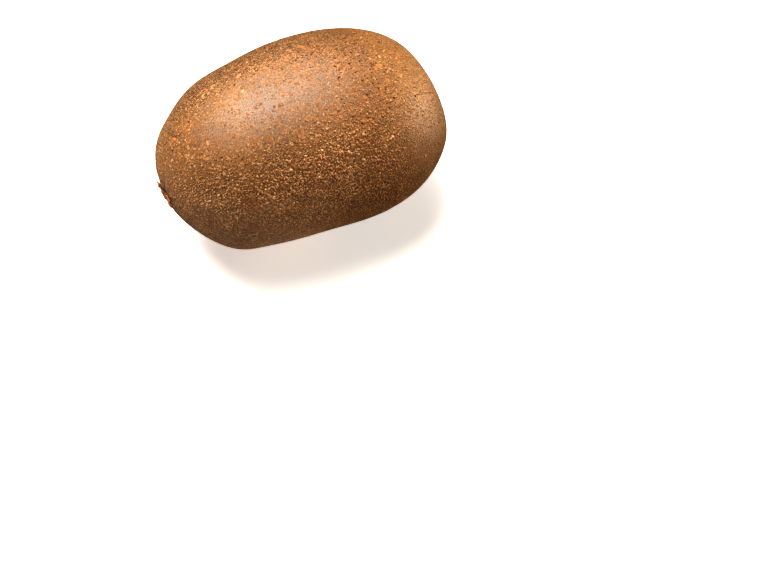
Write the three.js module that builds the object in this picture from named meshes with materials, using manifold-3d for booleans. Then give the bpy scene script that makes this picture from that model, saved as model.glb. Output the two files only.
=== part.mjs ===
// A whole golden kiwi fruit lying on its side, in millimetres, +Z up.
// +X runs from the stem end to the blossom end. The fruit stands on z = 0 on a small
// flat spot, and the origin is under the middle of its length and width.
import * as THREE from "three";
import { mergeVertices } from "three/addons/utils/BufferGeometryUtils.js";
import Module from "manifold-3d";

const wasm = await Module();
wasm.setup();

// Driving dimensions of the fruit
const stemHalf = 37.8; // from the widest girth to the stem end
const blossomHalf = 33.5; // from the widest girth to the blossom end
const girthRadius = 24.8; // half the width at the widest girth
const heightShare = 0.955; // the fruit is a little flatter than it is wide
const stemFullness = 2.3; // power of the outline curve: 2 is an ellipse, more is blunter
const blossomFullness = 2.53;
const threeSided = 0.008; // share by which the girth leans to a rounded triangle
const threeSidedTurn = -4; // degrees
const middleBow = -0.97; // sideways bow that grows with the square of the length
const stemLean = 1.03; // sideways lean of the stem end's last part
const stemLeanPower = 6;
const blossomLean = 0.22;
const blossomLeanPower = 4;
const tipLean = -3.5; // the blossom end's very tip leans to the other side
const tipLeanPower = 16;
const calyxSide = { y: -3, z: -1 }; // the calyx sits this far off the middle line
const calyxSideReach = 18; // radius from which the rings of the stem end close round it
const flatSpotDepth = 0.3; // how far the resting spot is pressed in

// Broad shallow hollows of the flanks, and swellings where the depth is negative:
// place along X, angle round the fruit, half length, depth
const flankHollows = [
  { x: -34, turn: 206, reach: 5, depth: 0.43 },
  { x: -26, turn: 206, reach: 7, depth: -1.65 },
  { x: -4, turn: 206, reach: 10, depth: 0.55 },
  { x: 24, turn: 206, reach: 7, depth: -0.16 },
  { x: -33, turn: 26, reach: 6, depth: 1.6 },
  { x: -14, turn: 26, reach: 9, depth: 0.95 },
  { x: 27, turn: 26, reach: 5, depth: 0.14 },
];
const hollowAcross = 12; // half width of each hollow round the fruit

// The stem end is a shallow dimple with a puckered rim, the blossom end a low beak with a pit
const dimpleDepth = 0.35;
const dimpleRadius = 3.2;
const puckerFolds = 13;
const puckerHeight = 0.12;
const puckerRing = 5.6; // radius where the folds stand highest
const puckerWidth = 2.2;
const beakHeight = 0.2;
const beakRadius = 4.5;
const pitDepth = 1.4;
const pitRadius = 1.9;
const pitWallPower = 4; // more makes the pit's floor flatter and its wall steeper

// The dried calyx: five sepals round the scar that the stalk left
const sepals = [
  { turn: 24, length: 3.9, curl: 0.45 },
  { turn: 95, length: 3.3, curl: 0.3 },
  { turn: 165, length: 3.7, curl: 0.15 },
  { turn: 222, length: 3.6, curl: 0.1 },
  { turn: 300, length: 3.8, curl: 0.4 },
];
const sepalNotch = 2.5; // how far out the gaps between the sepals reach
const sepalHalfTurn = 34; // half the angle that one sepal spans, in degrees
const sepalRoundness = 0.6; // power of a sepal's outline: less is squarer
const sepalThickness = 0.5;
const scarRadius = 1.5;
const scarRim = 0.25; // height of the scar's rim over the sepals
const scarRimWidth = 0.6;
const contactGap = 0.3; // clearance between touching pieces

// The dried styles, a tuft of stubs in the pit of the blossom end
const styleCount = 11;
const styleLength = 1.4;
const styleLengthSpread = 0.25; // share by which a stub may be shorter
const styleRadius = 0.2;
const styleTipShare = 0.6; // a stub's tip against its root
const styleFootRadius = 1.0;
const styleFootTaper = 0.8; // the foot narrows to this share down in the pit
const styleFootHeight = 0.5;
const styleSplay = 20; // lean of the outermost stubs, in degrees
const styleSeed = 5;

// Counts of facets
const stationsAlong = 50;
const stationCrowding = 0.62; // 0 spaces the stations evenly, more crowds them to the ends
const pointsAround = 66;
const calyxPointsAround = 70;
const calyxRings = 8;
const footSides = 20;
const stubSides = 6;

const radians = THREE.MathUtils.degToRad;

// Bell curve, 1 at 0 and about 0.37 at 1
const bell = (value) => Math.exp(-value * value);

// Smallest angle between two directions, in radians
const turnBetween = (a, b) => Math.abs(Math.atan2(Math.sin(a - b), Math.cos(a - b)));

// How far the middle line stands to the side where the profile has come to x
function bowAt(x) {
  if (x < 0) {
    const share = -x / stemHalf;
    return middleBow * share ** 2 + stemLean * share ** stemLeanPower;
  }
  const share = x / blossomHalf;
  const tip = tipLean * share ** tipLeanPower;
  return middleBow * share ** 2 + blossomLean * share ** blossomLeanPower + tip;
}

// One point of the skin, from its plain profile place (x, r) and its angle round the fruit.
// The flank hollows take a little off the radius. The dimple, puckers, beak and pit move the
// point along X, by its distance and angle from the end's own middle.
function skinPoint(x, r, around, endRadius, endAngle, lift) {
  let radius = r * (1 + threeSided * Math.cos(3 * (around - radians(threeSidedTurn))));
  for (const hollow of flankHollows) {
    const across = (turnBetween(around, radians(hollow.turn)) * girthRadius) / hollowAcross;
    radius -= hollow.depth * bell((x - hollow.x) / hollow.reach) * bell(across) * (r / girthRadius);
  }
  let along = x;
  if (x < 0) {
    const fold = Math.cos(puckerFolds * endAngle) * bell((endRadius - puckerRing) / puckerWidth);
    along += dimpleDepth * bell(endRadius / dimpleRadius) - puckerHeight * fold - lift;
  } else {
    const wall = Math.max(0, 1 - (endRadius / pitRadius) ** pitWallPower);
    along += beakHeight * bell(endRadius / beakRadius) - pitDepth * wall + lift;
  }
  return new THREE.Vector3(
    along,
    radius * Math.cos(around) + bowAt(x),
    radius * Math.sin(around) * heightShare,
  );
}

// A point of the skin at a radius and angle round its end's own middle. On the stem side the
// middle moves to the calyx, while the surface itself stays the same.
function ringPoint(x, r, around, lift = 0) {
  if (x > 0 || r >= calyxSideReach) return skinPoint(x, r, around, r, around, lift);
  const share = (1 - (r / calyxSideReach) ** 2) ** 2;
  const y = r * Math.cos(around) + calyxSide.y * share;
  const z = r * Math.sin(around) + calyxSide.z * share;
  const fromMiddle = Math.hypot(y, z);
  return skinPoint(stemProfileX(fromMiddle), fromMiddle, Math.atan2(z, y), r, around, lift);
}

// The profile is two quarter curves |x/half|^n + |r/girth|^n = 1 that meet at the widest girth.
// angle runs from 0 at the blossom end to pi at the stem end.
function profileAt(angle) {
  const blossomSide = Math.cos(angle) > 0;
  const half = blossomSide ? blossomHalf : stemHalf;
  const power = blossomSide ? blossomFullness : stemFullness;
  const cosine = Math.abs(Math.cos(angle)) / half;
  const sine = Math.sin(angle) / girthRadius;
  const reach = (cosine ** power + sine ** power) ** (-1 / power);
  return { x: reach * Math.cos(angle), r: reach * Math.sin(angle) };
}

// x of the plain profile at radius r on the stem side
function stemProfileX(r) {
  return -stemHalf * (1 - (r / girthRadius) ** stemFullness) ** (1 / stemFullness);
}

// Closed surface from rings of points between a first and a last pole, faces pointing outwards
// when the rings run anticlockwise as seen against the way from first to last.
function ringSurface(first, rings, last) {
  const around = rings[0].length;
  const points = [first, ...rings.flat(), last];
  const lastIndex = points.length - 1;
  const faces = [];
  for (let j = 0; j < around; j++) {
    const next = (j + 1) % around;
    faces.push(0, 1 + j, 1 + next);
    for (let i = 0; i < rings.length - 1; i++) {
      const a = 1 + i * around;
      const b = a + around;
      faces.push(a + j, b + j, b + next, a + j, b + next, a + next);
    }
    const end = 1 + (rings.length - 1) * around;
    faces.push(end + j, lastIndex, end + next);
  }
  return new THREE.BufferGeometry().setFromPoints(points).setIndex(faces);
}

// three.js geometry to a manifold-3d solid, and back
function toSolid(geometry) {
  const bare = geometry.clone();
  bare.deleteAttribute("normal");
  bare.deleteAttribute("uv");
  const merged = mergeVertices(bare, 1e-4);
  return new wasm.Manifold(
    new wasm.Mesh({
      numProp: 3,
      vertProperties: new Float32Array(merged.attributes.position.array),
      triVerts: new Uint32Array(merged.index.array),
    }),
  );
}

function toGeometry(solid) {
  const mesh = solid.getMesh();
  const geometry = new THREE.BufferGeometry();
  geometry.setAttribute("position", new THREE.BufferAttribute(mesh.vertProperties, 3));
  geometry.setIndex(new THREE.BufferAttribute(mesh.triVerts, 1));
  geometry.computeVertexNormals();
  return geometry;
}

// The fruit's body, with stations closer together at its two ends
function fruitGeometry() {
  const rings = [];
  for (let i = 1; i < stationsAlong; i++) {
    const t = i / stationsAlong;
    const angle = Math.PI * t - (stationCrowding / 2) * Math.sin(2 * Math.PI * t);
    const { x, r } = profileAt(angle);
    rings.push(
      Array.from({ length: pointsAround }, (_, j) =>
        ringPoint(x, r, (2 * Math.PI * j) / pointsAround),
      ),
    );
  }
  return ringSurface(ringPoint(blossomHalf, 0, 0), rings, ringPoint(-stemHalf, 0, 0));
}

// Cuts the resting spot flat with one big block
function pressFlat(geometry) {
  geometry.computeBoundingBox();
  const blockSize = 200;
  const top = geometry.boundingBox.min.z + flatSpotDepth;
  const block = new THREE.BoxGeometry(blockSize, blockSize, blockSize);
  block.translate(0, 0, top - blockSize / 2);
  return { geometry: toGeometry(toSolid(geometry).subtract(toSolid(block))), floor: top };
}

// How far out the calyx reaches at an angle, and how strongly its edge curls up there
function calyxEdge(around) {
  let reach = sepalNotch;
  let curl = 0;
  for (const sepal of sepals) {
    const share = turnBetween(around, radians(sepal.turn)) / radians(sepalHalfTurn);
    if (share < 1) {
      const lobe = Math.cos((share * Math.PI) / 2) ** sepalRoundness;
      reach = Math.max(reach, sepalNotch + (sepal.length - sepalNotch) * lobe);
      curl = Math.max(curl, sepal.curl * lobe);
    }
  }
  return { reach, curl };
}

// A point of the calyx at a share of its reach, lifted off the stem end's skin
function calyxPoint(share, around, height) {
  const { reach, curl } = calyxEdge(around);
  const r = share * reach;
  return ringPoint(stemProfileX(r), r, around, contactGap + height + curl * share ** 3);
}

// Height of the calyx's outer face: thin sepals, and in the middle the raised rim of the stalk's scar
function calyxHeight(share, around) {
  const r = share * calyxEdge(around).reach;
  return sepalThickness + scarRim * bell((r - scarRadius) / scarRimWidth);
}

function calyxGeometry() {
  const ring = (share, height) =>
    Array.from({ length: calyxPointsAround }, (_, j) => {
      const around = (2 * Math.PI * j) / calyxPointsAround;
      return calyxPoint(share, around, height(share, around));
    });
  const under = [0.35, 0.7, 1].map((share) => ring(share, () => 0));
  const over = Array.from({ length: calyxRings }, (_, i) => ring(1 - i / calyxRings, calyxHeight));
  return ringSurface(calyxPoint(0, 0, 0), [...under, ...over], calyxPoint(0, 0, calyxHeight(0, 0)));
}

// Seeded draw, so that each build gives the same tuft
function seededDraw(seed) {
  let state = seed;
  return () => {
    state = (state * 1664525 + 1013904223) % 4294967296;
    return state / 4294967296;
  };
}

// A foot in the pit and stubs that stand out of it, joined in one solid
function stylesGeometry() {
  const floorX = ringPoint(blossomHalf, 0, 0, contactGap).x;
  const draw = seededDraw(styleSeed);
  const footBase = styleFootRadius * styleFootTaper;
  const foot = new THREE.CylinderGeometry(styleFootRadius, footBase, styleFootHeight, footSides);
  foot.rotateZ(-Math.PI / 2);
  foot.translate(floorX + styleFootHeight / 2, bowAt(blossomHalf), 0);
  let tuft = toSolid(foot);
  for (let k = 0; k < styleCount; k++) {
    // a sunflower spiral spreads the stubs evenly over the foot
    const turn = k * Math.PI * (3 - Math.sqrt(5));
    const out = Math.sqrt((k + 0.5) / styleCount);
    const length = styleLength * (1 - styleLengthSpread * draw());
    const tipRadius = styleRadius * styleTipShare;
    const stub = new THREE.CylinderGeometry(tipRadius, styleRadius, length, stubSides);
    stub.translate(0, length / 2, 0);
    stub.rotateZ(-Math.PI / 2);
    stub.rotateY(radians(-styleSplay) * out);
    stub.rotateX(-turn);
    const spread = (footBase - styleRadius) * out;
    stub.translate(
      floorX + styleFootHeight / 2,
      bowAt(blossomHalf) + spread * Math.sin(turn + Math.PI / 2),
      spread * Math.cos(turn + Math.PI / 2),
    );
    tuft = tuft.add(toSolid(stub));
  }
  return toGeometry(tuft);
}

function piece(name, geometry, colour, roughness) {
  geometry.computeVertexNormals();
  const material = new THREE.MeshStandardMaterial({ color: colour, roughness, metalness: 0 });
  const mesh = new THREE.Mesh(geometry, material);
  mesh.name = name;
  return mesh;
}

const pressed = pressFlat(fruitGeometry());
const kiwi = new THREE.Group();
kiwi.add(piece("fruit", pressed.geometry, "#9a6a35", 0.55));
kiwi.add(piece("calyx", calyxGeometry(), "#8a5a2c", 0.85));
kiwi.add(piece("styles", stylesGeometry(), "#3d2716", 0.9));

// The origin goes under the middle of the whole piece, on the surface that it lies on
const extent = new THREE.Box3().setFromObject(kiwi, true);
const middle = extent.getCenter(new THREE.Vector3());
kiwi.position.set(-middle.x, -middle.y, -pressed.floor);

export default kiwi;
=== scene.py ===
# A whole golden kiwi fruit lying on a pale floor under soft studio light.
# Shapes are worked out in millimetres, +X from the stem end to the blossom end, and put in
# the part's frame in metres. The fruit's outline follows the part's solid.
import itertools
import math
import bpy
import numpy as np
from mathutils import Matrix, Vector


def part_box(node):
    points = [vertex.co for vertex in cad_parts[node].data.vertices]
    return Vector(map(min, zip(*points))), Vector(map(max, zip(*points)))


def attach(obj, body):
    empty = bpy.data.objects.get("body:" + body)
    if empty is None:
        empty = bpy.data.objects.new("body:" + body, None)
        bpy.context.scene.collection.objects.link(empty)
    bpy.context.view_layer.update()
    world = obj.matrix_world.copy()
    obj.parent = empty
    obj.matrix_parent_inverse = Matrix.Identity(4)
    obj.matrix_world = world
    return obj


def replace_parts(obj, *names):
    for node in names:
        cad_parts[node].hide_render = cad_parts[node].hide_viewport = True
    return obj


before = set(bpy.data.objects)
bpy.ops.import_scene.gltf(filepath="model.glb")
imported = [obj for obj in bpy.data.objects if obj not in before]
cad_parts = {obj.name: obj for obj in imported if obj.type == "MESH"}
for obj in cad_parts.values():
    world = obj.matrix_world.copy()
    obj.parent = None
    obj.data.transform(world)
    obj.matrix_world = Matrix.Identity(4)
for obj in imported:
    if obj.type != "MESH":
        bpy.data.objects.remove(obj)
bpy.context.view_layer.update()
print("stage: frame loaded")

# The body's form, in millimetres and degrees
fruitForm = {
    "stemHalf": 37.8, "blossomHalf": 33.5,         # from the widest girth to each end
    "girthRadius": 24.8, "heightShare": 0.955,
    "stemFullness": 2.3, "blossomFullness": 2.53,  # power of the outline curve, 2 is an ellipse
    "threeSided": 0.008, "threeSidedTurn": -4,
    "middleBow": -0.97, "stemLean": 1.03, "stemLeanPower": 6,
    "blossomLean": 0.22, "blossomLeanPower": 4,
    "tipLean": -3.5, "tipLeanPower": 16,
    "calyxSideY": -3.0, "calyxSideZ": -1.0, "calyxSideReach": 18.0,
    "flatSpotDepth": 0.3, "floorClearance": 0.01,
    # broad hollows of the flanks, and swellings where the depth is negative:
    # place along X, angle round the fruit, half length, depth
    "flankHollows": [(-34, 206, 5, 0.43), (-26, 206, 7, -1.65), (-4, 206, 10, 0.55),
                     (24, 206, 7, -0.16), (-33, 26, 6, 1.6), (-14, 26, 9, 0.95),
                     (27, 26, 5, 0.14)],
    "hollowAcross": 12.0,
    "dimpleDepth": 0.35, "dimpleRadius": 3.2,
    "puckerFolds": 13, "puckerHeight": 0.12, "puckerRing": 5.6, "puckerWidth": 2.2,
    "beakHeight": 0.2, "beakRadius": 4.5,
    "pitDepth": 1.4, "pitRadius": 1.9, "pitWallPower": 4,
    "stationsAlong": 170, "pointsAround": 260, "crowding": 0.35, "surfaceStep": 1e-3,
}


# Bell curve: e to the power of minus the value squared
def bell(value):
    return np.exp(-value * value)


# Turn of each of many in a row: its number times pi * (3 - root of 5), the golden angle
def goldenTurn(order):
    return order * math.pi * (3 - math.sqrt(5))


# Noise between -1 and 1: random values on a cubic lattice of the cell size, blended
# smoothly between its corners
def softNoise(points, cell, seed):
    table = np.random.default_rng(seed).uniform(-1, 1, (32, 32, 32))
    spot = np.asarray(points) / cell
    base = np.floor(spot).astype(int)
    part = spot - base
    part = part * part * (3 - 2 * part)
    total = np.zeros(spot.shape[:-1])
    for corner in itertools.product((0, 1), repeat=3):
        weight = np.prod(np.where(np.array(corner) == 1, part, 1 - part), axis=-1)
        at = (base + np.array(corner)) % 32
        total += weight * table[at[..., 0], at[..., 1], at[..., 2]]
    return total


# Sum of noises: each layer has a cell size and a height, and takes the next seed
def noiseSum(points, layers, seed):
    return sum(height * softNoise(points, cell, seed + order)
               for order, (cell, height) in enumerate(layers))


# Sideways place of the middle line: the bow grows with the square of the length, and each
# end's lean with a higher power of it
def bowAt(x, form):
    stemShare = np.clip(-x / form["stemHalf"], 0, 1)
    blossomShare = np.clip(x / form["blossomHalf"], 0, 1)
    stemSide = (form["middleBow"] * stemShare ** 2
                + form["stemLean"] * stemShare ** form["stemLeanPower"])
    blossomSide = (form["middleBow"] * blossomShare ** 2
                   + form["blossomLean"] * blossomShare ** form["blossomLeanPower"]
                   + form["tipLean"] * blossomShare ** form["tipLeanPower"])
    return np.where(x < 0, stemSide, blossomSide)


# x on the stem side at radius r, from |x / half|^n + |r / girth|^n = 1
def stemProfileX(r, form):
    power = form["stemFullness"]
    inside = np.clip(1 - (r / form["girthRadius"]) ** power, 0, 1)
    return -form["stemHalf"] * inside ** (1 / power)


# Point of the skin: the radius less the flank hollows, turned round the middle line, and
# moved along X by the dimple, puckers, beak and pit
def skinPoint(x, r, around, endRadius, endAngle, lift, form):
    turn = np.radians(form["threeSidedTurn"])
    radius = r * (1 + form["threeSided"] * np.cos(3 * (around - turn)))
    for hollowX, hollowTurn, reach, depth in form["flankHollows"]:
        away = around - np.radians(hollowTurn)
        across = np.arctan2(np.sin(away), np.cos(away)) * form["girthRadius"] / form["hollowAcross"]
        radius = radius - (depth * bell((x - hollowX) / reach) * bell(across)
                           * (r / form["girthRadius"]))
    fold = (np.cos(form["puckerFolds"] * endAngle)
            * bell((endRadius - form["puckerRing"]) / form["puckerWidth"]))
    stemMove = (form["dimpleDepth"] * bell(endRadius / form["dimpleRadius"])
                - form["puckerHeight"] * fold - lift)
    wall = np.clip(1 - (endRadius / form["pitRadius"]) ** form["pitWallPower"], 0, 1)
    blossomMove = (form["beakHeight"] * bell(endRadius / form["beakRadius"])
                   - form["pitDepth"] * wall + lift)
    along = x + np.where(x < 0, stemMove, blossomMove)
    return np.stack([along, radius * np.cos(around) + bowAt(x, form),
                     radius * np.sin(around) * form["heightShare"]], axis=-1)


# Point at a radius and angle round its end's own middle, which on the stem side is the calyx
def ringPoint(x, r, around, lift, form):
    share = np.where((x <= 0) & (r < form["calyxSideReach"]),
                     (1 - np.clip(r / form["calyxSideReach"], 0, 1) ** 2) ** 2, 0)
    y = r * np.cos(around) + form["calyxSideY"] * share
    z = r * np.sin(around) + form["calyxSideZ"] * share
    fromMiddle = np.hypot(y, z)
    moved = share > 0
    return skinPoint(np.where(moved, stemProfileX(fromMiddle, form), x),
                     np.where(moved, fromMiddle, r),
                     np.where(moved, np.arctan2(z, y), around), r, around, lift, form)


# Body surface at t from 0 (blossom end) to 1 (stem end) and an angle round it: each half is
# |x / half|^n + |r / girth|^n = 1, and the stations crowd towards both ends
def bodyPoint(t, around, form):
    angle = np.pi * t - form["crowding"] / 2 * np.sin(2 * np.pi * t)
    cosine = np.cos(angle)
    sine = np.clip(np.sin(angle), 0, 1)
    half = np.where(cosine > 0, form["blossomHalf"], form["stemHalf"])
    power = np.where(cosine > 0, form["blossomFullness"], form["stemFullness"])
    reach = (np.abs(cosine / half) ** power + (sine / form["girthRadius"]) ** power) ** (-1 / power)
    return ringPoint(reach * cosine, reach * sine, around, 0.0, form)


# Two short steps on the body surface, one along it and one round it: the point after less
# the point before
def bodySteps(t, around, form):
    step = form["surfaceStep"]
    alongStep = bodyPoint(t + step, around, form) - bodyPoint(t - step, around, form)
    roundStep = bodyPoint(t, around + step, form) - bodyPoint(t, around - step, form)
    return alongStep, roundStep


# Body surface with its directions along, across and outward, the last one from the cross
# product of the two steps
def bodyFrame(t, around, form):
    alongStep, roundStep = bodySteps(t, around, form)
    normal = np.cross(roundStep, alongStep)
    normal /= np.linalg.norm(normal, axis=-1, keepdims=True)
    along = alongStep / np.linalg.norm(alongStep, axis=-1, keepdims=True)
    return bodyPoint(t, around, form), along, np.cross(normal, along), normal


# Triangles of a closed surface of rings between a first and a last pole
def ringFaces(rings, around):
    here = np.arange(around)
    after = (here + 1) % around
    first = np.stack([np.zeros_like(here), 1 + here, 1 + after], axis=1)
    start = (1 + np.arange(rings - 1) * around)[:, None]
    lower = np.stack([start + here, start + around + here, start + around + after], axis=-1)
    upper = np.stack([start + here, start + around + after, start + after], axis=-1)
    end = 1 + (rings - 1) * around
    last = np.stack([end + here, np.full_like(here, rings * around + 1), end + after], axis=1)
    return np.concatenate([first, lower.reshape(-1, 3), upper.reshape(-1, 3), last])


# Triangles of count like bodies, each with its own run of points
def repeatFaces(faces, count, perBody):
    return (faces[None] + (np.arange(count) * perBody)[:, None, None]).reshape(-1, 3)


# Mesh object from points in millimetres and triangles
def makePiece(name, points, faces, material):
    mesh = bpy.data.meshes.new(name)
    mesh.vertices.add(len(points))
    mesh.vertices.foreach_set("co", (np.asarray(points) / 1000).astype(np.float32).ravel())
    mesh.loops.add(len(faces) * 3)
    mesh.loops.foreach_set("vertex_index", np.asarray(faces).astype(np.int32).ravel())
    mesh.polygons.add(len(faces))
    mesh.polygons.foreach_set("loop_start", np.arange(0, len(faces) * 3, 3, dtype=np.int32))
    mesh.polygons.foreach_set("use_smooth", np.ones(len(faces), dtype=bool))
    mesh.update(calc_edges=True)
    mesh.materials.append(material)
    piece = bpy.data.objects.new(name, mesh)
    bpy.context.scene.collection.objects.link(piece)
    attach(piece, "root")
    return piece


# Tone of a piece at each point, from 0 for dark to 1 for pale, as an attribute
def paintTone(piece, tones):
    attribute = piece.data.attributes.new("tone", "FLOAT", "POINT")
    attribute.data.foreach_set("value", tones.astype(np.float32))


# sRGB hex colour to linear: each channel over 0.04045 is ((c + 0.055) / 1.055) to the power 2.4
def linear(hexColour):
    channels = [int(hexColour[i:i + 2], 16) / 255 for i in (1, 3, 5)]
    return [c / 12.92 if c <= 0.04045 else ((c + 0.055) / 1.055) ** 2.4 for c in channels] + [1]


# Adds a node: settings are its own properties, values its sockets, links the sockets fed
def addNode(tree, kind, settings=None, values=None, links=None):
    node = tree.nodes.new(kind)
    for name, value in (settings or {}).items():
        setattr(node, name, value)
    for name, value in (values or {}).items():
        node.inputs[name].default_value = value
    for name, source in (links or {}).items():
        tree.links.new(source, node.inputs[name])
    return node


# The shader's socket for each word that a look uses
shaderSockets = {
    "roughness": "Roughness", "ior": "IOR", "specular": "Specular IOR Level",
    "sheen": "Sheen Weight", "sheenTint": "Sheen Tint", "sheenRoughness": "Sheen Roughness",
    "glow": "Emission Strength", "glowColour": "Emission Color",
}


# Empty material with its output and Principled shader, whose sockets take the look's values
def newMaterial(name, look):
    material = bpy.data.materials.new(name)
    material.use_nodes = True
    tree = material.node_tree
    tree.nodes.clear()
    values = {}
    for word, socket in shaderSockets.items():
        if word in look:
            values[socket] = linear(look[word]) if isinstance(look[word], str) else look[word]
    shader = addNode(tree, "ShaderNodeBsdfPrincipled", values=values)
    addNode(tree, "ShaderNodeOutputMaterial", links={"Surface": shader.outputs["BSDF"]})
    return material, tree, shader


# The object's own coordinates, in metres
def ownCoordinates(tree):
    return addNode(tree, "ShaderNodeTexCoord").outputs["Object"]


# Noise whose grain has a size in millimetres
def noiseOf(tree, coordinates, grain):
    node = addNode(tree, "ShaderNodeTexNoise", links={"Vector": coordinates},
                   values={"Scale": 1000 / grain["mm"], "Detail": grain["detail"],
                           "Roughness": grain["roughness"]})
    return node.outputs["Fac"]


# Value carried from between low and high to between bottom and top, and held there
def shareOf(tree, value, low, high, top=1.0, bottom=0.0):
    node = addNode(tree, "ShaderNodeMapRange", links={"Value": value},
                   values={"From Min": low, "From Max": high, "To Min": bottom, "To Max": top})
    return node.outputs["Result"]


# Colour moved towards a second one by a share
def blend(tree, share, colour, hexColour):
    node = addNode(tree, "ShaderNodeMix", settings={"data_type": "RGBA"})
    # the node's sockets for colours come after those for numbers and vectors
    factor, first, second = node.inputs[0], node.inputs[6], node.inputs[7]
    tree.links.new(share, factor)
    tree.links.new(colour, first)
    second.default_value = linear(hexColour)
    return node.outputs[2]


# Colour ramp fed by a share, with stops as (place, hex colour)
def rampColour(tree, share, stops):
    node = addNode(tree, "ShaderNodeValToRGB", links={"Fac": share})
    elements = node.color_ramp.elements
    while len(elements) < len(stops):
        elements.new(0.5)
    for element, (at, colour) in zip(elements, stops):
        element.position = at
        element.color = linear(colour)
    return node.outputs["Color"]


# Surface raised by a height, of which bump is the size in metres, felt at a strength
def raiseSurface(tree, shader, height, look):
    bump = addNode(tree, "ShaderNodeBump", links={"Height": height},
                   values={"Strength": look["bumpStrength"], "Distance": look["bump"]})
    tree.links.new(bump.outputs["Normal"], shader.inputs["Normal"])


skinLook = {
    # olive, brown and golden ground in broad patches
    "ground": [(0.34, "#62410b"), (0.5, "#76490c"), (0.66, "#926011")],
    "patches": {"mm": 11.0, "detail": 2.0, "roughness": 0.6},
    # russet mottling, dark pores and pale cork over it: each covers up to top of the ground
    # as its noise goes from low to high
    "layers": {
        "mottle": {"colour": "#502908", "mm": 1.7, "detail": 3.0, "roughness": 0.6,
                   "low": 0.45, "high": 0.72, "top": 0.5},
        "pores": {"colour": "#341c05", "mm": 0.42, "detail": 2.0, "roughness": 0.6,
                  "low": 0.56, "high": 0.4, "top": 0.65},
        "cork": {"colour": "#c08a3a", "mm": 0.2, "detail": 1.0, "roughness": 0.6,
                 "low": 0.5, "high": 0.64, "top": 0.6},
    },
    # paler towards the blossom end as painted light on that end's rim: its colour, where it starts
    # and where it is full along X, and its greatest share
    "finerAndPaintedLightEnd": "#98723c", "paintedLightFromMm": 16.0, "paintedLightToMm": 32.0, "paintedLightTop": 0.5,
    "roughness": 0.6, "specular": 1.0, "ior": 1.58,
    "sheen": 0.15, "sheenTint": "#fff0dc", "sheenRoughness": 0.35,
    "bump": 0.000035, "bumpStrength": 0.8,
}


# Kiwi skin: a thin satin cuticle over golden-brown corky tissue. The cuticle gives the eye a
# soft pale gloss between the matt flecks, and the trace of down a paler rim. Its own grain of
# dark pores and pale cork is finer than the flecks. Towards the blossom end it is painted paler, as
# painted light on that end's rim.
def kiwiSkin(look):
    material, tree, shader = newMaterial("kiwiSkin", look)
    coordinates = ownCoordinates(tree)
    colour = rampColour(tree, noiseOf(tree, coordinates, look["patches"]), look["ground"])
    noises = {}
    for name, layer in look["layers"].items():
        noises[name] = noiseOf(tree, coordinates, layer)
        share = shareOf(tree, noises[name], layer["low"], layer["high"], layer["top"])
        colour = blend(tree, share, colour, layer["colour"])
    # painted light: the skin blends paler along X towards the blossom end
    along = addNode(tree, "ShaderNodeSeparateXYZ", links={"Vector": coordinates}).outputs["X"]
    paintedLightShare = shareOf(tree, along, look["paintedLightFromMm"] / 1000, look["paintedLightToMm"] / 1000,
                       look["paintedLightTop"])
    colour = blend(tree, paintedLightShare, colour, look["finerAndPaintedLightEnd"])
    tree.links.new(colour, shader.inputs["Base Color"])
    raiseSurface(tree, shader, noises["pores"], look)
    return material


fleckLook = {
    "tones": [(0.0, "#885625"), (0.55, "#b78350"), (1.0, "#d7ae84")],
    # a fine grain darkens and lightens each fleck
    "grain": {"mm": 0.3, "detail": 2.0, "roughness": 0.5},
    "grainLow": 0.3, "grainHigh": 0.7, "shadeLeast": 0.82, "shadeMost": 1.1,
    "roughness": 0.66, "specular": 0.42, "ior": 1.4,
    "sheen": 0.08, "sheenTint": "#ffe6c0", "sheenRoughness": 0.35,
}


# Scurf: dead corky flecks of the outer skin, dry and matt, paler and more orange than it
def scurfFleck(look):
    material, tree, shader = newMaterial("scurfFleck", look)
    tone = addNode(tree, "ShaderNodeAttribute", settings={"attribute_name": "tone"})
    plain = rampColour(tree, tone.outputs["Fac"], look["tones"])
    shade = shareOf(tree, noiseOf(tree, ownCoordinates(tree), look["grain"]),
                    look["grainLow"], look["grainHigh"], look["shadeMost"], look["shadeLeast"])
    colour = addNode(tree, "ShaderNodeVectorMath", settings={"operation": "SCALE"},
                     links={"Vector": plain, "Scale": shade})
    tree.links.new(colour.outputs["Vector"], shader.inputs["Base Color"])
    return material


# Slight waves of the skin that the solid leaves out: cell size and height of each layer
skinRelief = {"layers": [(14.0, 0.10), (2.6, 0.025)], "seed": 3}


# Skin: the body surface with its waves, closed by a pole at each end. Its place in the part's
# frame has the plain surface in the middle of the solid's box and the flat spot on the floor.
def makeSkin(form, relief, material):
    stations = form["stationsAlong"]
    t = (np.arange(1, stations) / stations)[:, None]
    around = np.linspace(0, 2 * np.pi, form["pointsAround"], endpoint=False)[None, :]
    plain, _, _, normal = bodyFrame(t + 0 * around, around + 0 * t, form)
    rings = plain + normal * noiseSum(plain, relief["layers"], relief["seed"])[..., None]
    poles = [bodyPoint(np.array([end]), np.array([0.0]), form) for end in (0.0, 1.0)]
    plainLow = plain.reshape(-1, 3).min(axis=0)
    plainHigh = plain.reshape(-1, 3).max(axis=0)
    solidLow, solidHigh = (np.array(corner) * 1000 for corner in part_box("fruit"))
    middle = (solidLow + solidHigh) / 2 - (plainLow + plainHigh) / 2
    middle[2] = -(plainLow[2] + form["flatSpotDepth"])
    points = np.concatenate([poles[0], rings.reshape(-1, 3), poles[1]]) + middle
    points[:, 2] = np.maximum(points[:, 2], form["floorClearance"])
    faces = ringFaces(stations - 1, form["pointsAround"])
    return makePiece("skin", points, faces, material), middle


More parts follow.
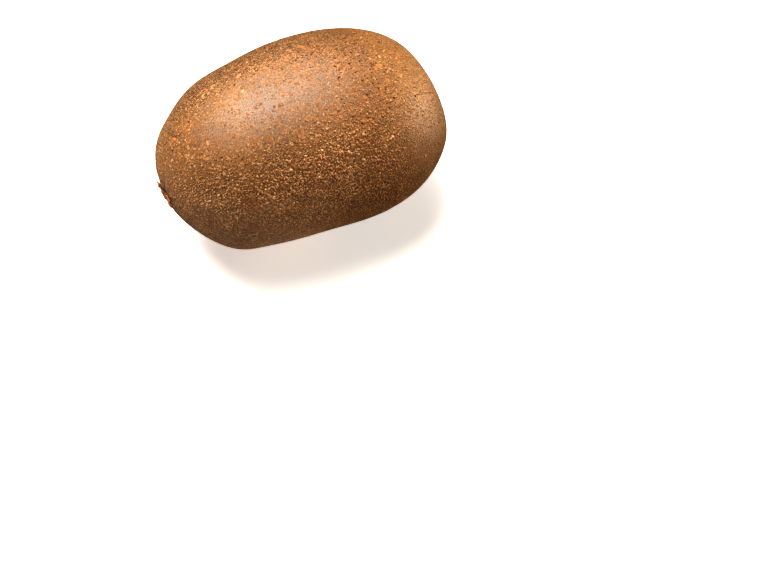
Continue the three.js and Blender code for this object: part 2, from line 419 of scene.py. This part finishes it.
skinPiece, place = makeSkin(fruitForm, skinRelief, kiwiSkin(skinLook))
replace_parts(skinPiece, "fruit")
print("stage: skin", len(skinPiece.data.polygons), "triangles, place", place.round(3))

# How the scatter measures the body: gap left at each end, stations along it, points round it,
# and how much wider the jitter is round the body than along it
scatterForm = {"endGap": 0.004, "stations": 500, "points": 48, "roundJitter": 2.2}


# Even scatter of count places on the body: equal shares of its area along it, a golden-angle
# step round it, and a jitter of a share of the spacing
def scatter(count, jitter, seed, form):
    draw = np.random.default_rng(seed)
    fine = np.linspace(scatterForm["endGap"], 1 - scatterForm["endGap"], scatterForm["stations"])
    ring = np.linspace(0, 2 * np.pi, scatterForm["points"], endpoint=False)
    alongStep, roundStep = bodySteps(*np.meshgrid(fine, ring, indexing="ij"), form)
    area = np.linalg.norm(np.cross(alongStep, roundStep), axis=-1).mean(axis=1)
    share = np.cumsum(area)
    share = (share - share[0]) / (share[-1] - share[0])
    order = np.arange(count)
    spot = (order + 0.5) / count + draw.uniform(-0.5, 0.5, count) * jitter / math.sqrt(count)
    spread = jitter * scatterForm["roundJitter"] / math.sqrt(count)
    return (np.interp(np.clip(spot, 0, 1), share, fine),
            goldenTurn(order) + draw.normal(0, spread, count))


# The crown, where handling has rubbed the scurf thin and painted shade darkens the flecks that
# are left: middle along X and its angle round the fruit, reach along and across, shares of the
# flecks' height, width and number lost, share of crisp rims gained, tone lost to painted shade
rubbedAndShadedCrown = {"x": -13.5, "turn": 95, "along": 20.0, "across": 8.5,
               "height": 0.1, "width": 0.05, "number": 0.8, "crisp": 1.6, "tone": 0.26}

# The blossom end, where the scurf is finer and painted light makes it paler: where it starts
# along X, over what length it grows to its full share, share of the width lost and tone gained
finerAndPaintedLightEnd = {"from": 15.0, "reach": 14.0, "width": 0.25, "tone": 0.1}

# A belt of painted shade round the fruit before it: middle along X, reach, tone lost
paintedShadeBelt = {"x": 14.0, "reach": 8.0, "tone": 0.25}


# Share of the crown's rubbing and painted shade at a place: a bell curve along the fruit and one
# across it
def crownShareOf(centre, around, crown, form):
    away = around - np.radians(crown["turn"])
    across = np.arctan2(np.sin(away), np.cos(away)) * form["girthRadius"] / crown["across"]
    return bell((centre[:, 0] - crown["x"]) / crown["along"]) * bell(across)


# Width and height of each fleck: the width spreads by chance, grows in clumps and shrinks on
# the crown and towards both ends, and the height is a share of it, up to a limit
def fleckSizes(tSpot, clump, crownShare, blossomEndShare, look, draw):
    width = look["width"] * np.exp(draw.normal(0, look["widthSpread"], look["count"]))
    width = np.clip(width * (1 + look["clumpShare"] * clump),
                    look["width"] * look["leastWidth"], look["width"] * look["mostWidth"])
    width = width * (1 - rubbedAndShadedCrown["width"] * crownShare) * (1 - finerAndPaintedLightEnd["width"] * blossomEndShare)
    width = width * np.clip(np.minimum(tSpot, 1 - tSpot) / look["endFade"], look["endLeast"], 1)
    height = np.minimum(width, look["width"] * look["mostHigh"]) * look["heightShare"]
    return width, height * (1 - rubbedAndShadedCrown["height"] * crownShare)


# Points of closed flecks: a rim sunk in the skin and a point on top. Each is stretched,
# turned, bent to a comma and made uneven by its own draws.
def fleckPoints(spots, width, height, look, draw):
    centre, along, side, up = spots
    count, sides = look["count"], look["sides"]
    stretch = 1 + np.abs(draw.normal(0, look["stretch"], count))
    turn = draw.uniform(0, 2 * np.pi, count)
    major = np.cos(turn)[:, None] * along + np.sin(turn)[:, None] * side
    minor = np.cross(up, major)
    angle = np.linspace(0, 2 * np.pi, sides, endpoint=False)
    uneven = 1 + draw.uniform(-look["uneven"], look["uneven"], (count, sides))
    onMajor = np.cos(angle) * uneven * (width * stretch / 2)[:, None]
    onMinor = np.sin(angle) * uneven * (width / 2)[:, None]
    bend = draw.normal(0, look["bend"], count)[:, None]
    onMinor = onMinor + bend * onMajor * onMajor / (width * stretch)[:, None]
    rim = (centre[:, None] + onMajor[..., None] * major[:, None]
           + onMinor[..., None] * minor[:, None] - look["sink"] * up[:, None])
    top = centre + up * height[:, None]
    return np.concatenate([rim, top[:, None]], axis=1)


# Triangles of one fleck: a fan over its flat underside, then one from each side to the top
def fleckFaces(sides):
    fan = np.arange(1, sides - 1)
    here = np.arange(sides)
    return np.concatenate([np.stack([0 * fan, fan + 1, fan], axis=1),
                           np.stack([here, (here + 1) % sides, np.full_like(here, sides)], axis=1)])


# Tone of each fleck: by chance and by its clump, less in the belt and on the crown as painted
# shade, more at the blossom end as painted light
def fleckTones(centre, clump, crownShare, blossomEndShare, look, draw):
    tone = draw.normal(look["tone"], look["toneSpread"], look["count"]) + look["clumpTone"] * clump
    # painted shade: the flecks are darker in the belt
    tone = tone - paintedShadeBelt["tone"] * bell((centre[:, 0] - paintedShadeBelt["x"]) / paintedShadeBelt["reach"])
    # painted shade darkens the flecks on the crown, and painted light makes them paler at the
    # blossom end
    return np.clip(tone - rubbedAndShadedCrown["tone"] * crownShare + finerAndPaintedLightEnd["tone"] * blossomEndShare, 0, 1)


# One size of fleck as one piece: scattered on the waved skin, without those that would reach
# the floor and without the share that the crown has lost
def makeFlecks(name, look, form, material):
    draw = np.random.default_rng(look["seed"])
    count, sides = look["count"], look["sides"]
    tSpot, aroundSpot = scatter(count, look["jitter"], look["seed"], form)
    centre, along, side, up = bodyFrame(tSpot, aroundSpot, form)
    centre = centre + up * noiseSum(centre, skinRelief["layers"], skinRelief["seed"])[:, None]
    clump = softNoise(centre, look["clumpMm"], look["seed"] + 1)
    # share of the crown, where the flecks are rubbed thin and darkened as painted shade
    crownShare = crownShareOf(centre, aroundSpot, rubbedAndShadedCrown, form)
    # share of the blossom end, where the scurf is finer and painted light makes the flecks paler
    blossomEndShare = np.clip((centre[:, 0] - finerAndPaintedLightEnd["from"]) / finerAndPaintedLightEnd["reach"], 0, 1)
    width, height = fleckSizes(tSpot, clump, crownShare, blossomEndShare, look, draw)
    points = fleckPoints((centre, along, side, up), width, height, look, draw) + place
    keep = centre[:, 2] + place[2] > look["floorGap"]
    keep &= draw.uniform(0, 1, count) > rubbedAndShadedCrown["number"] * crownShare
    tone = fleckTones(centre, clump, crownShare, blossomEndShare, look, draw)
    faces = fleckFaces(sides)
    piece = makePiece(name, points[keep].reshape(-1, 3),
                      repeatFaces(faces, np.count_nonzero(keep), sides + 1), material)
    # a crisp rim has its underside shaded flat: a few of all flecks, and most of the rubbed ones
    crisp = draw.uniform(0, 1, count) < look["crisp"] + rubbedAndShadedCrown["crisp"] * np.sqrt(crownShare)
    smooth = ~crisp[keep, None] | (np.arange(len(faces)) >= sides - 2)
    piece.data.polygons.foreach_set("use_smooth", smooth.ravel())
    paintTone(piece, np.repeat(tone[keep], sides + 1))
    print("stage:", name, len(piece.data.polygons), "triangles")
    return piece


# Values that the flecks share: sides and unevenness of the outline, limits of the width and of
# the height as shares of the look's width, depth of the rim in the skin, tones, crisp rims
allFlecks = {"sides": 5, "uneven": 0.25, "leastWidth": 0.4, "mostWidth": 1.9, "endLeast": 0.35,
             "mostHigh": 1.2, "sink": 0.04, "clumpShare": 0.2, "clumpTone": 0.15,
             "toneSpread": 0.2, "crisp": 0.04}
largeFlecks = dict(allFlecks, count=22500, seed=11, jitter=0.9, width=0.42, widthSpread=0.3,
                   clumpMm=5.0, stretch=0.4, bend=0.5, heightShare=0.095, endFade=0.09,
                   floorGap=0.35, tone=0.5)
smallFlecks = dict(allFlecks, count=23000, seed=21, jitter=1.0, width=0.3, widthSpread=0.25,
                   clumpMm=3.0, stretch=0.5, bend=0.4, heightShare=0.12, endFade=0.06,
                   floorGap=0.25, tone=0.5)
fineFlecks = dict(smallFlecks, count=31000, sides=4, seed=31, width=0.2, stretch=0.8, tone=0.6)
powderFlecks = dict(fineFlecks, seed=47, width=0.17, stretch=1.0, tone=0.7)
scurf = scurfFleck(fleckLook)
for name, look in (("flecksLarge", largeFlecks), ("flecksSmall", smallFlecks),
                   ("flecksFine", fineFlecks), ("flecksPowder", powderFlecks)):
    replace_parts(makeFlecks(name, look, fruitForm, scurf), "fruit")

# Dried calyx: five papery sepals round the woody scar that the stalk left
calyxForm = {
    # turn, length and curl of each sepal
    "sepals": [(22, 3.2, 0.6), (80, 3.5, 1.0), (170, 4.5, 0.1), (222, 4.4, 0.05), (300, 3.8, 0.3)],
    "notch": 1.8, "halfTurn": 31, "roundness": 0.6, "curlPower": 3, "gap": 0.22,
    "crumple": 0.2, "crumpleMm": 1.1, "wrinkle": 0.05, "wrinkleMm": 0.4,
    "edgeThickness": 0.2, "middleThickness": 0.42, "middleReach": 2.2,
    "scarRadius": 1.5, "scarRim": 0.3, "scarRimWidth": 0.45, "rimUneven": 0.35, "rimUnevenMm": 0.5,
    "veins": 41, "veinHeight": 0.035, "veinWander": 2.0, "veinWanderMm": 1.5, "veinRise": 1.6,
    # ragged edge: noise read on a circle, by cell size and share of each layer
    "ragged": 0.55, "raggedRadius": 3.0, "raggedLayers": [(0.55, 0.6), (0.22, 0.4)],
    # tones under the sepals and over the scar, both painted shade, and what the tips gain
    "underShadeTone": 0.25, "scarShadeTone": 0.2, "tipTone": 0.45, "tonePower": 1.5,
    "rings": 46, "underRings": 16, "pointsAround": 300, "seed": 41,
}


# Reach and curl of the calyx's edge round it: each sepal adds a rounded lobe to the notch's
# radius, and noise makes the edge ragged
def calyxEdge(around, form):
    reach = np.full(around.shape, form["notch"])
    curl = np.zeros(around.shape)
    for turn, length, sepalCurl in form["sepals"]:
        away = around - np.radians(turn)
        share = np.abs(np.arctan2(np.sin(away), np.cos(away))) / np.radians(form["halfTurn"])
        lobe = np.where(share < 1, np.cos(np.clip(share, 0, 1) * np.pi / 2) ** form["roundness"], 0)
        reach = np.maximum(reach, form["notch"] + (length - form["notch"]) * lobe)
        curl = np.maximum(curl, sepalCurl * lobe)
    circle = form["raggedRadius"]
    edge = np.stack([circle * np.cos(around), circle * np.sin(around), 0 * around], axis=-1)
    return reach + form["ragged"] * noiseSum(edge, form["raggedLayers"], form["seed"]), curl


# Lift of the calyx from the skin: the gap, the curl that grows towards the tips and the
# crumple, and on its upper side also the thickness, the scar's rim and the veins
def calyxLift(share, r, around, curl, over, form):
    seed = form["seed"]
    flat = np.stack([r * np.cos(around), r * np.sin(around), 0 * around], axis=-1)
    crumple = (form["crumple"] * softNoise(flat, form["crumpleMm"], seed + 2) * share
               + form["wrinkle"] * softNoise(flat, form["wrinkleMm"], seed + 3))
    lift = form["gap"] + curl * share ** form["curlPower"] + crumple * share
    if not over:
        return lift
    thickness = (form["edgeThickness"] + (form["middleThickness"] - form["edgeThickness"])
                 * bell(r / form["middleReach"]))
    wander = form["veinWander"] * softNoise(flat, form["veinWanderMm"], seed + 4)
    vein = form["veinHeight"] * np.cos(form["veins"] * around + wander)
    rim = form["scarRim"] * bell((r - form["scarRadius"]) / form["scarRimWidth"])
    rim = rim * (1 + form["rimUneven"] * softNoise(flat, form["rimUnevenMm"], seed + 5))
    return lift + thickness + rim + vein * np.clip(share * form["veinRise"], 0, 1)


# Closed calyx of rings on the stem end: out along its underside, then back over its upper
# side, with a pole in the middle of each
def makeCalyx(form, body, material):
    around = np.linspace(0, 2 * np.pi, form["pointsAround"], endpoint=False)
    reach, curl = calyxEdge(around, form)
    shares = np.concatenate([np.linspace(1 / form["underRings"], 1, form["underRings"]),
                             np.linspace(1, 1 / form["rings"], form["rings"])])
    over = np.arange(len(shares)) >= form["underRings"]
    layers = []
    for share, isOver in zip(shares, over):
        r = share * reach
        lift = calyxLift(share, r, around, curl, isOver, form)
        layers.append(ringPoint(stemProfileX(r, body), r, around, lift, body))
    centre = np.zeros(1)
    poles = [ringPoint(stemProfileX(centre, body), centre, centre, lift, body)
             for lift in (form["gap"], form["gap"] + form["middleThickness"])]
    points = np.concatenate([poles[0]] + layers + [poles[1]]) + place
    faces = ringFaces(len(layers), form["pointsAround"])
    piece = makePiece("driedCalyx", points, faces, material)
    # painted shade: dark over the scar's hollow and under the sepals; paler towards their tips
    upper = form["scarShadeTone"] + form["tipTone"] * shares ** form["tonePower"]
    tones = np.repeat(np.where(over, upper, form["underShadeTone"]), form["pointsAround"])
    paintTone(piece, np.concatenate([[form["underShadeTone"]], tones, [form["scarShadeTone"]]]))
    return piece


sepalLook = {
    "tones": [(0.55, "#4a2813"), (0.75, "#94603a"), (0.92, "#c79468")],
    "blotches": {"mm": 1.3, "detail": 3.0, "roughness": 0.6},
    "fibres": {"mm": 0.5, "detail": 3.0, "roughness": 0.6},
    "bump": 0.00006, "bumpStrength": 0.7, "roughness": 0.82, "ior": 1.4,
}


# Dried sepal: thin papery dead leaf tissue, matt, tan towards its tips and dark in painted shade
def driedSepal(look):
    material, tree, shader = newMaterial("driedSepal", look)
    coordinates = ownCoordinates(tree)
    tone = addNode(tree, "ShaderNodeAttribute", settings={"attribute_name": "tone"})
    both = addNode(tree, "ShaderNodeMath", settings={"operation": "ADD"})
    tree.links.new(tone.outputs["Fac"], both.inputs[0])
    tree.links.new(noiseOf(tree, coordinates, look["blotches"]), both.inputs[1])
    colour = rampColour(tree, both.outputs["Value"], look["tones"])
    tree.links.new(colour, shader.inputs["Base Color"])
    raiseSurface(tree, shader, noiseOf(tree, coordinates, look["fibres"]), look)
    return material


calyxPiece = makeCalyx(calyxForm, fruitForm, driedSepal(sepalLook))
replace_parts(calyxPiece, "calyx")
print("stage: calyx", len(calyxPiece.data.polygons), "triangles")

# Dried styles: a tuft of bent stubs on a small foot in the blossom end's pit
styleForm = {
    "count": 26, "length": 1.5, "lengthSpread": 0.35, "radius": 0.11, "tipShare": 0.45,
    "splay": 24, "bend": 0.35, "sides": 8, "steps": 7, "seed": 5,
    # where the stubs start: height over the foot's base and share of its radius
    "startHeight": 0.25, "startShare": 0.8,
    # the foot's base over the pit, its radius, height and share of the radius of each ring
    "gap": 0.2, "footRadius": 0.95, "footPoints": 40, "footTop": 0.56,
    "footRings": [(0.0, 0.75), (0.15, 0.95), (0.35, 1.0), (0.5, 0.8), (0.55, 0.4)],
}


# Tapered tubes along bent paths: start + share * length along the lean, plus a sideways bend
# that grows with the square of the share
def styleTubes(form, foot):
    draw = np.random.default_rng(form["seed"])
    count = form["count"]
    order = np.arange(count)
    turn = goldenTurn(order)
    out = np.sqrt((order + 0.5) / count)
    length = form["length"] * (1 - form["lengthSpread"] * draw.uniform(0, 1, count))
    away = out * form["footRadius"] * form["startShare"]
    start = np.stack([0 * out + form["startHeight"], away * np.cos(turn), away * np.sin(turn)],
                     axis=-1) + foot
    lean = np.radians(form["splay"]) * out
    way = np.stack([np.cos(lean), np.sin(lean) * np.cos(turn), np.sin(lean) * np.sin(turn)],
                   axis=-1)
    bendTurn = draw.uniform(0, 2 * np.pi, count)
    bendWay = np.stack([0 * out, np.cos(bendTurn), np.sin(bendTurn)], axis=-1)
    share = np.linspace(0, 1, form["steps"])
    path = (start[:, None] + (length[:, None] * share)[..., None] * way[:, None]
            + (form["bend"] * length[:, None] * share ** 2)[..., None] * bendWay[:, None])
    angle = np.linspace(0, 2 * np.pi, form["sides"], endpoint=False)
    radius = form["radius"] * (1 - (1 - form["tipShare"]) * share)
    loop = (np.stack([0 * angle, np.cos(angle), np.sin(angle)], axis=-1)[None, None]
            * radius[None, :, None, None])
    tube = (path[:, :, None] + loop).reshape(count, -1, 3)
    return np.concatenate([path[:, :1], tube, path[:, -1:]], axis=1)


# Foot of the tuft: a low rounded disc turned round X
def styleFoot(form, foot):
    turn = np.linspace(0, 2 * np.pi, form["footPoints"], endpoint=False)
    rings = [np.stack([0 * turn + x, form["footRadius"] * share * np.cos(turn),
                       form["footRadius"] * share * np.sin(turn)], axis=-1) + foot
             for x, share in form["footRings"]]
    return np.concatenate([foot[None]] + rings + [foot[None] + [form["footTop"], 0, 0]])


# Tuft of closed tubes and their foot. Their rings run towards +X and the fruit's towards -X,
# so each triangle is turned over to face outward.
def makeStyles(form, body, material):
    centre = np.zeros(1)
    foot = ringPoint(np.array([body["blossomHalf"]]), centre, centre, form["gap"], body)[0] + place
    tubes = styleTubes(form, foot)
    count, perTube = tubes.shape[:2]
    tubeFaces = ringFaces(form["steps"], form["sides"])[:, ::-1]
    footFaces = ringFaces(len(form["footRings"]), form["footPoints"])[:, ::-1]
    points = np.concatenate([tubes.reshape(-1, 3), styleFoot(form, foot)])
    faces = np.concatenate([repeatFaces(tubeFaces, count, perTube), footFaces + count * perTube])
    return makePiece("driedTuft", points, faces, material)


styleLook = {
    "tones": [(0.35, "#23140b"), (0.65, "#4a2e18")],
    "grain": {"mm": 0.6, "detail": 2.0, "roughness": 0.5},
    "roughness": 0.85, "ior": 1.4,
}


# Dried style: shrivelled woody thread, matt, mottled from nearly black to dark brown
def driedStyle(look):
    material, tree, shader = newMaterial("driedStyle", look)
    colour = rampColour(tree, noiseOf(tree, ownCoordinates(tree), look["grain"]), look["tones"])
    tree.links.new(colour, shader.inputs["Base Color"])
    return material


stylesPiece = makeStyles(styleForm, fruitForm, driedStyle(styleLook))
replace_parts(stylesPiece, "styles")
print("stage: styles", len(stylesPiece.data.polygons), "triangles")

# The floor reaches size metres each way. The world round it gives a little warm light.
floorLook = {
    "tones": [(0.0, "#f4f3f1"), (1.0, "#f6f5f3")],
    "patches": {"mm": 2000.0, "detail": 2.0, "roughness": 0.5},
    "roughness": 0.9, "glow": 0.55, "glowColour": "#ffffff", "size": 3.0,
}
worldLook = {"colour": "#ffeedb", "strength": 0.02}


# Pale floor: matt white board with a faint glow of its own, so that it comes out white
def paleFloor(look):
    material, tree, shader = newMaterial("paleFloor", look)
    colour = rampColour(tree, noiseOf(tree, ownCoordinates(tree), look["patches"]), look["tones"])
    tree.links.new(colour, shader.inputs["Base Color"])
    return material


# Floor: one square at height 0
def makeFloor(look, material):
    size = look["size"]
    mesh = bpy.data.meshes.new("floor")
    mesh.from_pydata([(-size, -size, 0), (size, -size, 0), (size, size, 0), (-size, size, 0)],
                     [], [(0, 1, 2, 3)])
    mesh.materials.append(material)
    board = bpy.data.objects.new("floor", mesh)
    bpy.context.scene.collection.objects.link(board)
    return board


floor = makeFloor(floorLook, paleFloor(floorLook))
# the fruit doesn't see the floor: the tableBounce card gives it the light from below
floor.visible_diffuse = False
floor.visible_glossy = False

world = bpy.data.worlds.new("studio")
world.use_nodes = True
background = world.node_tree.nodes["Background"]
background.inputs["Color"].default_value = linear(worldLook["colour"])
background.inputs["Strength"].default_value = worldLook["strength"]
bpy.context.scene.world = world

# Softboxes: place and target in metres, size, power in watts, colour
lights = {
    "keySoftbox": {"at": (-0.085, 0.235, 0.6), "to": (0.0, 0.0, 0.02), "size": (0.42, 0.5),
                   "power": 9.3, "colour": "#fffaf4"},
    "backSoftbox": {"at": (0.05, 0.44, 0.42), "to": (0.0, 0.0, 0.02), "size": (0.42, 0.42),
                    "power": 2.3, "colour": "#fff8f0"},
    "rightSoftbox": {"at": (0.603, -0.1, 0.05), "to": (0.0, 0.0, 0.02), "size": (0.26, 0.26),
                     "power": 7.3, "colour": "#fff0d8"},
    "leftSoftbox": {"at": (-0.614, 0.0, 0.106), "to": (0.0, 0.0, 0.02), "size": (0.3, 0.2),
                    "power": 0.35, "colour": "#fff4ea"},
    # the light that a table throws back up, as a card that lies on it
    "tableBounce": {"at": (-0.35, -0.12, 0.0003), "to": (-0.35, -0.12, 0.1), "size": (0.7, 0.7),
                    "power": 1.9, "colour": "#ffead0"},
}


# Rectangular softbox that shines from its place to its target
def makeSoftbox(name, light):
    lamp = bpy.data.lights.new(name, "AREA")
    lamp.shape = "RECTANGLE"
    lamp.size, lamp.size_y = light["size"]
    lamp.energy = light["power"]
    lamp.color = linear(light["colour"])[:3]
    holder = bpy.data.objects.new(name, lamp)
    holder.visible_camera = False
    away = Vector(light["at"]) - Vector(light["to"])
    turn = away.to_track_quat("Z", "Y").to_matrix().to_4x4()
    holder.matrix_world = Matrix.Translation(light["at"]) @ turn
    bpy.context.scene.collection.objects.link(holder)


for name, light in lights.items():
    makeSoftbox(name, light)

# The camera looks down at 62 degrees. The fruit's middle lies up and to the left in the frame.
# A gamma below 1 deepens the shades.
view = {"azimuth": -20.62, "elevation": 62.0, "distance": 530.0, "mmPerPixel": 0.2466,
        "middlePixel": (306.5, 135.0), "frame": (772, 579), "sensor": 36.0, "gamma": 0.75}


# Camera at a distance from the fruit's middle along its line of sight, moved sideways and
# upward so that the middle falls on its pixel
def makeCamera(look, middle):
    azimuth, elevation = math.radians(look["azimuth"]), math.radians(look["elevation"])
    back = Vector((math.sin(azimuth) * math.cos(elevation),
                   -math.cos(azimuth) * math.cos(elevation), math.sin(elevation)))
    right = Vector((math.cos(azimuth), math.sin(azimuth), 0))
    up = right.cross(-back)
    offX = (look["middlePixel"][0] - look["frame"][0] / 2) * look["mmPerPixel"]
    offY = (look["frame"][1] / 2 - look["middlePixel"][1]) * look["mmPerPixel"]
    eye = (Vector(middle) - right * offX - up * offY + back * look["distance"]) / 1000
    holder = bpy.data.objects.new("camera", bpy.data.cameras.new("camera"))
    holder.data.sensor_width = look["sensor"]
    holder.data.lens = look["distance"] / look["mmPerPixel"] * look["sensor"] / look["frame"][0]
    holder.matrix_world = Matrix.Translation(eye) @ Matrix((right, up, back)).transposed().to_4x4()
    bpy.context.scene.collection.objects.link(holder)
    return holder


bpy.context.scene.camera = makeCamera(view, place)
bpy.context.scene.view_settings.view_transform = "Standard"
bpy.context.scene.view_settings.gamma = view["gamma"]

print("stage: scene ready")
